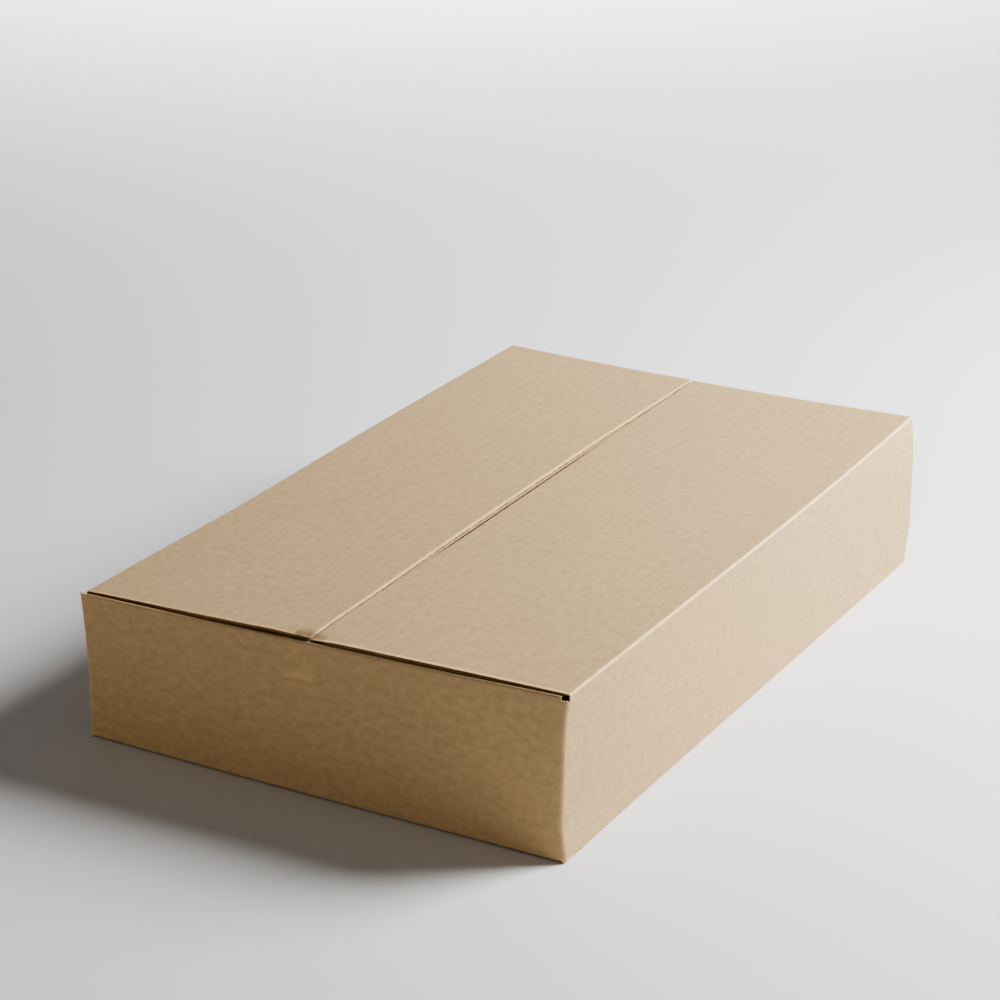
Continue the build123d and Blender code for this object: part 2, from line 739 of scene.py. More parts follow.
@dataclass
class FoldedSheet:
    """Corrugated sheet as a grid of columns and rows, folded along its plan.

    Its faces are the two liners, and every free edge is cut open between them. First is where it
    begins along the plan, and pinch the share of the thickness left at its ends. Closed nodes have
    a plain edge with no hollow.
    """

    name: str
    board: Board
    runs: list[Run]
    first: float = 0.0
    pinch: float = 1.0
    pinch_reach: float = 4.5 * MM
    rubbing_and_highlight: RubAndHighlight = RubAndHighlight()
    columns: list[Column] = field(default_factory=list)
    closed: set[Node] = field(default_factory=set)
    points: list[Point] = field(default_factory=list)
    sheet: list[Point] = field(default_factory=list)
    wear_and_highlight: list[float] = field(default_factory=list)
    faces: list[tuple[int, ...]] = field(default_factory=list)
    papers: list[Paper] = field(default_factory=list)

    def run_at(self, u: float) -> tuple[Run, float]:
        """The run that holds a place of the sheet.

        Args:
            u: Place along the plan.

        Returns:
            The run, and the place along it.
        """
        along = u - self.first
        for run in self.runs:
            slack = -HAIR if run.radius else HAIR
            if along <= run.length + slack:
                return run, min(max(along, 0.0), run.length)
            along -= run.length
        return self.runs[-1], along + self.runs[-1].length

    def place(self, u: float, v: float, depth: float) -> Point:
        """Place in the carton of a point of the sheet.

        Args:
            u: Place along the plan.
            v: Place up the panel, equal to the height on its wall.
            depth: Depth below the outside face.

        Returns:
            The point, in metres.
        """
        run, along = self.run_at(u)
        thin = depth * self.board.squeezed(self.from_fold(u, v))
        if run.radius:
            inward, height = thin, v
        else:
            end = min(along, run.length - along)
            pressed = (1 - self.pinch) * math.exp(-((end / self.pinch_reach) ** 2))
            inward, height = run.section.place(v, thin * (1 - pressed))
        x, y = run.point(along, inward)
        return x, y, height

    def from_fold(self, u: float, v: float) -> float:
        """Distance of a place on the sheet from the nearest fold, upright ones included on a wall.

        Args:
            u: Place along the plan.
            v: Place up the panel.

        Returns:
            The distance along the sheet.
        """
        run, along = self.run_at(u)
        if run.radius:
            return 0.0
        fold, _ = run.section.past(v)
        level = run.section.from_fold(v)
        return level if fold else min(level, along, run.length - along)

    def add_point(self, u: float, v: float, depth: float, wear_and_highlight: float) -> int:
        """Adds a point of the sheet.

        Args:
            u: Place along the plan.
            v: Place up the panel.
            depth: Depth below the outside face.
            wear_and_highlight: How scuffed the paper is there, and how much painted highlight it
                carries.

        Returns:
            The point's number.
        """
        self.points.append(self.place(u, v, depth))
        self.sheet.append((u, v, depth))
        self.wear_and_highlight.append(wear_and_highlight)
        return len(self.points) - 1

    def fold_wear(self, u: float, v: float, tip: float) -> float:
        """How scuffed the outside is at a place, with the painted highlight of creases and flap edges.

        Args:
            u: Place along the plan.
            v: Place up the panel.
            tip: Distance from the panel's upper edge.

        Returns:
            Most along a fold's round or a flap's scuffed and highlit edges, none on a panel.
        """
        run, along = self.run_at(u)
        rub_and_highlight = self.rubbing_and_highlight
        if run.radius:
            return rub_and_highlight.upright * math.sin(math.pi * along / run.length) ** rub_and_highlight.upright_power
        fold, beyond = run.section.past(v)
        if fold and beyond < fold.arc:
            # A fold's round is scuffed and lightened as the crease's painted highlight
            return fold.rub_and_highlight * math.sin(math.pi * beyond / fold.arc) ** rub_and_highlight.crease_power
        worn_and_lit = 0.0
        # Bands along a flap's ends and free edge are scuffed and lightened as painted highlights
        if rub_and_highlight.end:
            end = min(along, run.length - along)
            worn_and_lit = rub_and_highlight.end_share * (1 - float(smooth(end, rub_and_highlight.end_core * rub_and_highlight.end, rub_and_highlight.end)))
        if rub_and_highlight.tip:
            kept = float(smooth(along, 0.0, rub_and_highlight.tip_start * run.length))
            worn_and_lit = max(worn_and_lit, kept * (1 - float(smooth(tip, rub_and_highlight.tip_core * rub_and_highlight.tip, rub_and_highlight.tip))))
        return worn_and_lit

    def grid(self) -> tuple[dict[Node, Place], list[list[Node]]]:
        """Nodes of the grid and the cells that hold board.

        Returns:
            Each node's place on the sheet, and the four nodes of each cell.
        """
        nodes: dict[Node, Place] = {}
        for i, column in enumerate(self.columns):
            nodes |= {(i, key): (column.u, v) for key, v in column.rows}
        cells = []
        for i, (column, beside) in enumerate(zip(self.columns, self.columns[1:])):
            shared = set(beside.steps())
            for low, high in column.steps():
                if (low, high) in shared:
                    cells.append([(i, low), (i + 1, low), (i + 1, high), (i, high)])
        return nodes, cells

    def free_edges(
        self, nodes: dict[Node, Place], cells: list[list[Node]]
    ) -> tuple[list[tuple[Node, Node]], dict[Node, Ways]]:
        """Edges of the grid with board on one side only.

        Args:
            nodes: Places of the nodes.
            cells: Cells that hold board.

        Returns:
            The edges, and for each node on them the directions into the board.
        """
        owner: dict[frozenset, list[tuple[Node, Node, list[Node]]]] = {}
        for cell in cells:
            for a, b in zip(cell, cell[1:] + cell[:1]):
                owner.setdefault(frozenset((a, b)), []).append((a, b, cell))
        edges = []
        inward: dict[Node, Ways] = {}
        for uses in owner.values():
            if len(uses) > 1:
                continue
            a, b, cell = uses[0]
            axis = 0 if a[0] == b[0] else 1
            middle = sum(nodes[node][axis] for node in cell) / 4
            edge = (nodes[a][axis] + nodes[b][axis]) / 2
            sign = 1 if middle > edge else -1
            way = (sign, 0) if axis == 0 else (0, sign)
            edges.append((a, b))
            for node in (a, b):
                inward.setdefault(node, set()).add(way)
        return edges, inward

    def fold_up(self) -> None:
        """Fills in the points and faces of the liners and the cut edges."""
        nodes, cells = self.grid()
        edges, inward = self.free_edges(nodes, cells)
        board = self.board
        outer: dict[Node, int] = {}
        inner: dict[Node, int] = {}
        for node, (u, v) in nodes.items():
            cut = node in inward and node not in self.closed
            roll = board.roll if cut else 0.0
            back = self.set_back(u, v, inward[node]) if cut else 0.0
            tip = self.columns[node[0]].rows[-1][1] - v
            # Cut edges and folds carry scuffing and painted highlight in one attribute
            wear_and_highlight = board.rim_wear_and_highlight if cut else self.fold_wear(u, v, tip)
            outer[node] = self.add_point(u, v, roll, wear_and_highlight)
            wear_and_highlight = board.inner_wear if cut else 0.0
            inner[node] = self.add_point(u + back, v, board.thickness - roll, wear_and_highlight)
        for cell in cells:
            self.add_face([outer[node] for node in cell], Paper.OUTER)
            self.add_face([inner[node] for node in reversed(cell)], Paper.INNER)
        profile: dict[Node, list[int]] = {}
        for node, ways in inward.items():
            profile[node] = self.rim(node, nodes[node], ways, outer, inner)
        # The hollow's three faces take a kraft darkened as painted shade
        papers = (Paper.CUT, Paper.SHADED_HOLLOW, Paper.SHADED_HOLLOW, Paper.SHADED_HOLLOW, Paper.CUT)
        for a, b in edges:
            for i, paper in enumerate(papers):
                corners = (profile[b][i], profile[a][i], profile[a][i + 1], profile[b][i + 1])
                self.add_face(corners, paper)

    def set_back(self, u: float, v: float, ways: Ways) -> float:
        """How far the inner liner stands back from a cut along the flutes, none at a fold."""
        spared = self.board.spared(self.from_fold(u, v))
        return self.board.lip * spared * sum(way[0] for way in ways)

    def rim(
        self, node: Node, place: Place, ways: Ways, outer: dict[Node, int], inner: dict[Node, int]
    ) -> list[int]:
        """Points from the outside to the inside round one place of a free edge.

        Args:
            node: The node on the edge.
            place: Its place on the sheet.
            ways: Directions into the board there.
            outer: Points of the outside.
            inner: Points of the inside.

        Returns:
            Six point numbers: liner, hollow and liner.
        """
        board = self.board
        u, v = place
        closed = node in self.closed
        roll = 0.0 if closed else board.roll
        spared = 0.0 if closed else board.spared(self.from_fold(u, v))
        back = 0.0 if closed else self.set_back(u, v, ways)
        across = not closed and all(way[0] == 0 for way in ways)
        liner = board.turned if across else board.liner
        reach = board.shallow if across else board.shaded_hollow
        deep = max(reach * board.uneven(u, v) * spared, board.least_hollow)
        du = sum(way[0] for way in ways) * deep
        dv = sum(way[1] for way in ways) * deep
        full = board.thickness
        return [
            outer[node],
            self.add_point(u, v, roll + liner, board.rim_wear_and_highlight),
            self.add_point(u + du, v + dv, board.liner, 0.0),
            self.add_point(u + du, v + dv, full - board.liner, 0.0),
            self.add_point(u + back, v, full - roll - board.liner, board.inner_rim_wear),
            inner[node],
        ]

    def add_face(self, corners: list[int] | tuple[int, ...], paper: Paper) -> None:
        """Adds a face of one paper."""
        self.faces.append(tuple(corners))
        self.papers.append(paper)

    def mesh_object(self, slump: Slump, stance: Stance) -> bpy.types.Object:
        """Turns the folded sheet into an object at the origin.

        Args:
            slump: How the carton stands out of true.
            stance: What the piece takes of the local rises.

        Returns:
            The object, with its papers as material numbers and its rest places as attributes.
        """
        places = slump.move(np.array(self.points), stance)
        mesh = bpy.data.meshes.new(self.name)
        mesh.from_pydata(places.tolist(), [], self.faces)
        mesh.polygons.foreach_set("material_index", [paper.value for paper in self.papers])
        for label, values in (("sheet", np.array(self.sheet)), ("rest", np.array(self.points))):
            attribute = mesh.attributes.new(label, "FLOAT_VECTOR", "POINT")
            attribute.data.foreach_set("vector", values.astype(np.float32).ravel())
        # Scuffing and painted highlight, for each point
        rubbed_and_highlight = mesh.attributes.new("wear_and_highlight", "FLOAT", "POINT")
        rubbed_and_highlight.data.foreach_set("value", np.array(self.wear_and_highlight, np.float32))
        mesh.polygons.foreach_set("use_smooth", [True] * len(mesh.polygons))
        mesh.set_sharp_from_angle(angle=SHARP_ANGLE)
        mesh.validate()
        mesh.update()
        piece = bpy.data.objects.new(self.name, mesh)
        bpy.context.scene.collection.objects.link(piece)
        return piece


@dataclass
class FlutePath:
    """A cut across the flutes: places along it, with the directions across and into the board."""

    places: list[Point]
    across: list[Point]
    into: list[Point]
    run: list[float]

    @classmethod
    def along(cls, sheet: FoldedSheet, ends: list[Place], rise: int) -> "FlutePath":
        """Follows a free edge of a sheet.

        Args:
            sheet: The folded sheet.
            ends: Places on the sheet along the edge.
            rise: 1 for an upper edge, -1 for a lower one.

        Returns:
            The path, in the true carton.
        """
        board = sheet.board
        path = cls([], [], [], [])
        for u, v in ends:
            v_mid = v - rise * (board.shallow / 2 + board.recess)
            middle = Vector(sheet.place(u, v_mid, board.thickness / 2))
            above = Vector(sheet.place(u, v_mid, board.thickness / 2 - PROBE))
            deeper = Vector(sheet.place(u, v_mid - rise * PROBE, board.thickness / 2))
            path.places.append(tuple(middle))
            path.across.append(tuple((above - middle).normalized()))
            path.into.append(tuple((deeper - middle).normalized()))
            path.run.append(u)
        return path


@dataclass
class FlutedCore:
    """The wavy paper that shows between the liners where flaps are cut across their flutes."""

    name: str
    board: Board
    paths: list[FlutePath]

    def guide(self, slump: Slump, stance: Stance) -> bpy.types.Object:
        """Edge lines that the wave follows.

        Args:
            slump: How the carton stands out of true.
            stance: What the piece takes of the local rises.

        Returns:
            A helper object with the directions across and into the board as attributes.
        """
        places = np.array([place for path in self.paths for place in path.places])
        mesh = bpy.data.meshes.new(f"{self.name}_guide")
        edges, count = [], 0
        for path in self.paths:
            edges += [(count + i, count + i + 1) for i in range(len(path.places) - 1)]
            count += len(path.places)
        mesh.from_pydata(slump.move(places, stance).tolist(), edges, [])
        for label in ("across", "into"):
            attribute = mesh.attributes.new(label, "FLOAT_VECTOR", "POINT")
            values = [value for path in self.paths for value in getattr(path, label)]
            attribute.data.foreach_set("vector", np.array(values, np.float32).ravel())
        along = [u for path in self.paths for u in path.run]
        run = mesh.attributes.new("run", "FLOAT", "POINT")
        run.data.foreach_set("value", np.array(along, np.float32))
        helper = bpy.data.objects.new(mesh.name, mesh)
        bpy.context.scene.collection.objects.link(helper)
        return helper

    def build(
        self, tree: bpy.types.GeometryNodeTree, paper: bpy.types.Material, slump: Slump, stance: Stance
    ) -> bpy.types.Object:
        """Sweeps the wave along the guide and makes it a plain mesh.

        Args:
            tree: The fluted core's node tree.
            paper: The fluting paper's material.
            slump: How the carton stands out of true.
            stance: What the piece takes of the local rises.

        Returns:
            The finished object, at the origin.
        """
        helper = self.guide(slump, stance)
        modifier = helper.modifiers.new("Fluted core", "NODES")
        modifier.node_group = tree
        board = self.board
        rise = board.thickness / 2 - board.liner - board.roll - board.medium / 2
        values = {
            "Pitch": board.flute_pitch,
            "Rise": rise,
            "Paper": board.medium,
            "Width": board.shallow,
            "Material": paper,
        }
        for item in tree.interface.items_tree:
            if item.in_out == "INPUT" and item.name in values:
                modifier[item.identifier] = values[item.name]
        graph = bpy.context.evaluated_depsgraph_get()
        mesh = bpy.data.meshes.new_from_object(helper.evaluated_get(graph))
        mesh.name = self.name
        old = helper.data
        bpy.data.objects.remove(helper)
        bpy.data.meshes.remove(old)
        turn_out(mesh)
        piece = bpy.data.objects.new(self.name, mesh)
        bpy.context.scene.collection.objects.link(piece)
        return piece


def turn_out(mesh: bpy.types.Mesh) -> None:
    """Turns a closed mesh's faces outwards.

    Args:
        mesh: The mesh to change.
    """
    work = bmesh.new()
    work.from_mesh(mesh)
    bmesh.ops.recalc_face_normals(work, faces=work.faces)
    work.to_mesh(mesh)
    work.free()


@dataclass(frozen=True)
class Grain:
    """A noise: its scale for each metre, detail, roughness and stretch.

    As patches, it is carried from a span of the noise to a least value and up to 1.
    """

    scale: float
    detail: float
    rough: float = 0.5
    stretch: Point = (1.0, 1.0, 1.0)
    span: Span = (0.0, 1.0)
    least: float = 0.0


@dataclass
class NodeBench:
    """Adds nodes to a tree and joins them."""

    tree: bpy.types.NodeTree

    def add(self, kind: str, **settings: object) -> bpy.types.Node:
        """Adds a node.

        Args:
            kind: The node's type.
            **settings: Values for its own properties.

        Returns:
            The node.
        """
        node = self.tree.nodes.new(kind)
        for name, value in settings.items():
            setattr(node, name, value)
        return node

    def join(self, source: bpy.types.NodeSocket, target: bpy.types.NodeSocket) -> None:
        """Joins an output to an input."""
        self.tree.links.new(source, target)

    def feed(self, value: object, target: bpy.types.NodeSocket) -> None:
        """Joins an output to an input, or sets a plain value on it.

        Args:
            value: The output or the value.
            target: The input.
        """
        if isinstance(value, bpy.types.NodeSocket):
            self.join(value, target)
        else:
            target.default_value = value

    def fed(self, kind: str, inputs: dict[str, object], **settings: object) -> bpy.types.Node:
        """Adds a node and feeds its inputs.

        Args:
            kind: The node's type.
            inputs: Outputs or plain values for its inputs, by name.
            **settings: Values for its own properties.

        Returns:
            The node.
        """
        node = self.add(kind, **settings)
        for name, value in inputs.items():
            self.feed(value, node.inputs[name])
        return node

    def maths(self, operation: str, *values: object) -> bpy.types.NodeSocket:
        """Adds a Math node.

        Args:
            operation: What it works out.
            *values: Outputs or numbers for its inputs.

        Returns:
            Its result.
        """
        node = self.add("ShaderNodeMath", operation=operation)
        for value, target in zip(values, node.inputs):
            self.feed(value, target)
        return node.outputs[0]

    def span(self, value: object, given: Span, to: Span = (0.0, 1.0)) -> bpy.types.NodeSocket:
        """Carries a value from one span to another, smoothly and within it.

        Args:
            value: The output to carry.
            given: The span that it comes from.
            to: The span that it goes to.

        Returns:
            The carried value.
        """
        node = self.add("ShaderNodeMapRange", interpolation_type="SMOOTHSTEP")
        for part, target in zip((value, *given, *to), node.inputs):
            self.feed(part, target)
        return node.outputs[0]

    def mix(self, share: object, a: object, b: object, blend: str = "MIX") -> bpy.types.NodeSocket:
        """Mixes two colours.

        Args:
            share: Share of the second colour.
            a: First colour.
            b: Second colour.
            blend: How they are mixed.

        Returns:
            The mixed colour.
        """
        node = self.add("ShaderNodeMix", data_type="RGBA", blend_type=blend)
        sockets = {socket.identifier: socket for socket in node.inputs}
        self.feed(share, sockets["Factor_Float"])
        for value, name in ((a, "A_Color"), (b, "B_Color")):
            self.feed((*value, 1.0) if isinstance(value, tuple) else value, sockets[name])
        return next(socket for socket in node.outputs if socket.identifier == "Result_Color")

    def grey(self, value: bpy.types.NodeSocket) -> bpy.types.NodeSocket:
        """Turns a value into a grey colour.

        Args:
            value: The output to turn.

        Returns:
            The colour.
        """
        node = self.add("ShaderNodeCombineColor")
        for target in node.inputs:
            self.join(value, target)
        return node.outputs[0]

    def noise(self, vector: bpy.types.NodeSocket, grain: Grain) -> bpy.types.NodeSocket:
        """Adds a noise.

        Args:
            vector: Where it is read.
            grain: Its scale, detail, roughness and stretch.

        Returns:
            Its value.
        """
        mapping = self.fed("ShaderNodeMapping", {"Vector": vector, "Scale": grain.stretch})
        inputs = {"Scale": grain.scale, "Detail": grain.detail, "Roughness": grain.rough}
        inputs["Vector"] = mapping.outputs["Vector"]
        return self.fed("ShaderNodeTexNoise", inputs).outputs["Fac"]

    def patches(self, vector: bpy.types.NodeSocket, grain: Grain) -> bpy.types.NodeSocket:
        """Patches of a noise, from its least value to 1."""
        return self.span(self.noise(vector, grain), grain.span, (grain.least, 1.0))

    def group(self, tree: bpy.types.NodeTree, **values: object) -> bpy.types.bpy_prop_collection:
        """Outputs of a shared group that is placed with its own values."""
        return self.fed("ShaderNodeGroup", values, node_tree=tree).outputs


@dataclass
class GroupBench(NodeBench):
    """A new node group with its sockets, and the outputs and inputs that they show inside it."""

    given: bpy.types.bpy_prop_collection
    result: bpy.types.bpy_prop_collection

    @classmethod
    def new(
        cls, name: str, takes: dict[str, Socket], gives: dict[str, Socket], kind: str = "ShaderNodeTree"
    ) -> "GroupBench":
        """Makes a group.

        Args:
            name: The group's name.
            takes: Kinds of its inputs, by name.
            gives: Kinds of its outputs, by name.
            kind: The kind of tree.

        Returns:
            The group's bench.
        """
        tree = bpy.data.node_groups.new(name, kind)
        for way, sockets in (("INPUT", takes), ("OUTPUT", gives)):
            for label, socket in sockets.items():
                tree.interface.new_socket(label, in_out=way, socket_type=socket.value)
        given = tree.nodes.new("NodeGroupInput").outputs
        result = tree.nodes.new("NodeGroupOutput").inputs
        return cls(tree, given, result)

    def parts(self) -> tuple[bpy.types.NodeSocket, ...]:
        """Takes the group's vector apart.

        Returns:
            Its x, y and z.
        """
        node = self.add("ShaderNodeSeparateXYZ")
        self.join(self.given["Vector"], node.inputs[0])
        return tuple(node.outputs)

    def wave(self, along: bpy.types.NodeSocket) -> bpy.types.NodeSocket:
        """A wave of the group's pitch.

        Args:
            along: Distance that it runs along.

        Returns:
            Its value, from -1 to 1.
        """
        turns = self.maths("DIVIDE", along, self.given["Pitch"])
        return self.maths("SINE", self.maths("MULTIPLY", turns, math.tau))


@dataclass(frozen=True)
class Pulp:
    """Grains of kraft pulp: clouds, streaks along the web, specks, stray fibres and the paper's tooth.

    Middle is the value that the first three swing about.
    """

    cloud: Grain = Grain(26.0, 4.0, 0.55)
    streak: Grain = Grain(160.0, 3.0, 0.6, (1.0, 9.0, 1.0))
    speck: Grain = Grain(200.0, 4.0, 0.56, (1.0, 1.4, 1.0))
    fibre: Grain = Grain(620.0, 2.0, 0.5, (1.0, 3.5, 1.0), (0.66, 0.76))
    tooth: Grain = Grain(1500.0, 3.0, 0.6)
    middle: float = 0.5

    def group(self) -> bpy.types.NodeTree:
        """Builds the shared group.

        Returns:
            A group with a tone that multiplies the colour, a fleck mask and a height.
        """
        number = Socket.NUMBER
        takes = {"Vector": Socket.VECTOR, "Cloud": number, "Streak": number, "Speck": number}
        bench = GroupBench.new("Kraft pulp", takes, {"Tone": number, "Fleck": number, "Height": number})
        place = bench.given["Vector"]
        tone: object = 1.0
        for name, grain in (("Cloud", self.cloud), ("Streak", self.streak), ("Speck", self.speck)):
            swing = bench.maths("SUBTRACT", bench.noise(place, grain), self.middle)
            tone = bench.maths("MULTIPLY_ADD", swing, bench.given[name], tone)
        bench.join(tone, bench.result["Tone"])
        bench.join(bench.patches(place, self.fibre), bench.result["Fleck"])
        bench.join(bench.noise(place, self.tooth), bench.result["Height"])
        return bench.tree


@dataclass(frozen=True)
class StripTraceAndShade:
    """Faint mark over the near end of the seam, as a strip that was once stuck there could leave, with
    painted shade on the flaps' pressed tips.

    Distances run in from the near end, across from the mark's leaning middle and down from the
    carton's top. Tones are added to the paper's own.
    """

    sizes: CartonSizes
    near: Span = (3.5 * MM, 11.0 * MM)
    middle: float = 5.2 * MM
    lean: float = 0.20
    half_width: Span = (6.6 * MM, 8.6 * MM)
    fold: Span = (1.2 * MM, 2.5 * MM)
    pale: Span = (16.0 * MM, 18.8 * MM)
    foot: Span = (20.0 * MM, 21.5 * MM)
    # Tones of the mark on the wall and of its pale lower edge, and painted shade on the flaps' pressed
    # tips
    wall_tone: float = 0.03
    pale_tone: float = 0.14
    tip_painted_shade: float = -0.50
    patchy: Grain = Grain(260.0, 3.0, 0.6, span=(0.32, 0.62), least=0.35)
    fading: Span = (1.0, 0.0)

    def group(self) -> bpy.types.NodeTree:
        """Builds the shared group.

        Returns:
            A group with a tone that multiplies the colour, darkened on the flaps' pressed tips as
            painted shade, with a pale lower edge, and the cover that keeps the scuffing and its painted
            highlight off.
        """
        takes = {"Vector": Socket.VECTOR, "Amount": Socket.NUMBER}
        bench = GroupBench.new("Strip trace and tip shade", takes, {"Tone": Socket.NUMBER, "Cover": Socket.NUMBER})
        x, y, z = bench.parts()
        inward = bench.maths("ADD", x, self.sizes.length / 2)
        below = bench.maths("SUBTRACT", self.sizes.height, z)
        middle = bench.maths("MULTIPLY_ADD", below, self.lean, self.middle)
        aside = bench.maths("ABSOLUTE", bench.maths("SUBTRACT", y, middle))
        near = bench.span(inward, self.near, self.fading)
        across = bench.span(aside, self.half_width, self.fading)
        strip = bench.maths("MULTIPLY", near, across)
        strip = bench.maths("MULTIPLY", strip, bench.patches(bench.given["Vector"], self.patchy))
        wall = bench.span(below, self.foot, self.fading)
        pale = bench.maths("MULTIPLY", wall, bench.span(below, self.pale))
        # Painted shade where the flaps' tips are pressed down
        flap = bench.span(below, self.fold, self.fading)
        tone: object = 0.0
        for mask, shade in ((wall, self.wall_tone), (pale, self.pale_tone), (flap, self.tip_painted_shade)):
            tone = bench.maths("MULTIPLY_ADD", mask, shade, tone)
        cover = bench.maths("MULTIPLY", strip, bench.given["Amount"])
        bench.join(bench.maths("MULTIPLY_ADD", tone, cover, 1.0), bench.result["Tone"])
        bench.join(cover, bench.result["Cover"])
        return bench.tree


@dataclass(frozen=True)
class FluteRibs:
    """Faint ribs where the flutes print through a liner."""

    patchy: Grain = Grain(18.0, 2.0, span=(0.35, 0.7), least=0.3)

    def group(self) -> bpy.types.NodeTree:
        """Builds the shared group.

        Returns:
            A group with the ribs' height.
        """
        takes = {"Vector": Socket.VECTOR, "Pitch": Socket.NUMBER}
        bench = GroupBench.new("Flute ribs", takes, {"Height": Socket.NUMBER})
        patch = bench.patches(bench.given["Vector"], self.patchy)
        along, _, _ = bench.parts()
        bench.join(bench.maths("MULTIPLY", bench.wave(along), patch), bench.result["Height"])
        return bench.tree


@dataclass(frozen=True)
class RubbedAndHighlitFolds:
    """Broken scuffing along folds and cut edges, which also lays their painted highlight."""

    patchy: Grain = Grain(110.0, 4.0, 0.6, span=(0.3, 0.62), least=0.6)

    def group(self) -> bpy.types.NodeTree:
        """Builds the shared group.

        Returns:
            A group with the mask of the scuffing and the painted highlight.
        """
        takes = {"Vector": Socket.VECTOR, "Wear_and_highlight": Socket.NUMBER, "Amount": Socket.NUMBER}
        bench = GroupBench.new("Rubbed folds", takes, {"Mask": Socket.NUMBER})
        patch = bench.patches(bench.given["Vector"], self.patchy)
        worn_and_lit = bench.maths("MULTIPLY", bench.given["Wear_and_highlight"], patch)
        bench.join(bench.maths("MULTIPLY", worn_and_lit, bench.given["Amount"]), bench.result["Mask"])
        return bench.tree


@dataclass(frozen=True)
class FluteWave:
    """Wave of paper that is swept along edge lines by Geometry Nodes."""

    steps: float = 10.0

    def group(self) -> bpy.types.NodeTree:
        """Builds the tree.

        Returns:
            The tree, with its sizes and material as named inputs.
        """
        takes = {"Geometry": Socket.GEOMETRY}
        takes |= {name: Socket.NUMBER for name in ("Pitch", "Rise", "Paper", "Width")}
        takes |= {"Material": Socket.MATERIAL}
        bench = GroupBench.new("Fluted core", takes, {"Geometry": Socket.GEOMETRY}, "GeometryNodeTree")
        given = bench.given
        names = {}
        for label, kind in (("run", "FLOAT"), ("across", "FLOAT_VECTOR"), ("into", "FLOAT_VECTOR")):
            node = bench.fed("GeometryNodeInputNamedAttribute", {"Name": label}, data_type=kind)
            names[label] = node.outputs["Attribute"]
        line = bench.fed("GeometryNodeMeshToCurve", {"Mesh": given["Geometry"]})
        spacing = bench.maths("DIVIDE", given["Pitch"], self.steps)
        inputs = {"Curve": line.outputs["Curve"], "Length": spacing}
        fine = bench.fed("GeometryNodeResampleCurve", inputs, mode="LENGTH")
        wave = bench.maths("MULTIPLY", bench.wave(names["run"]), given["Rise"])
        swing = bench.add("ShaderNodeVectorMath", operation="SCALE")
        bench.join(names["across"], swing.inputs[0])
        bench.join(wave, swing.inputs["Scale"])
        inputs = {"Geometry": fine.outputs["Curve"], "Offset": swing.outputs[0]}
        shift = bench.fed("GeometryNodeSetPosition", inputs)
        inputs = {"Curve": shift.outputs["Geometry"], "Normal": names["into"]}
        facing = bench.fed("GeometryNodeSetCurveNormal", inputs, mode="FREE")
        inputs = {"Width": given["Width"], "Height": given["Paper"]}
        strip = bench.fed("GeometryNodeCurvePrimitiveQuadrilateral", inputs)
        inputs = {"Curve": facing.outputs["Curve"], "Profile Curve": strip.outputs["Curve"]}
        sweep = bench.fed("GeometryNodeCurveToMesh", inputs | {"Fill Caps": True})
        real = bench.fed("GeometryNodeRealizeInstances", {"Geometry": sweep.outputs["Mesh"]})
        inputs = {"Geometry": real.outputs["Geometry"], "Material": given["Material"]}
        paint = bench.fed("GeometryNodeSetMaterial", inputs)
        bench.join(paint.outputs["Geometry"], bench.result["Geometry"])
        return bench.tree


class Groups:
    """Node groups that several pieces or materials share."""

    def __init__(self, sizes: CartonSizes) -> None:
        """Builds every group once.

        Args:
            sizes: The carton's sizes, which place the mark at the seam and its painted shade.
        """
        self.pulp = Pulp().group()
        self.trace = StripTraceAndShade(sizes).group()
        self.ribs = FluteRibs().group()
        self.rubbed_and_highlight = RubbedAndHighlitFolds().group()
        self.core = FluteWave().group()


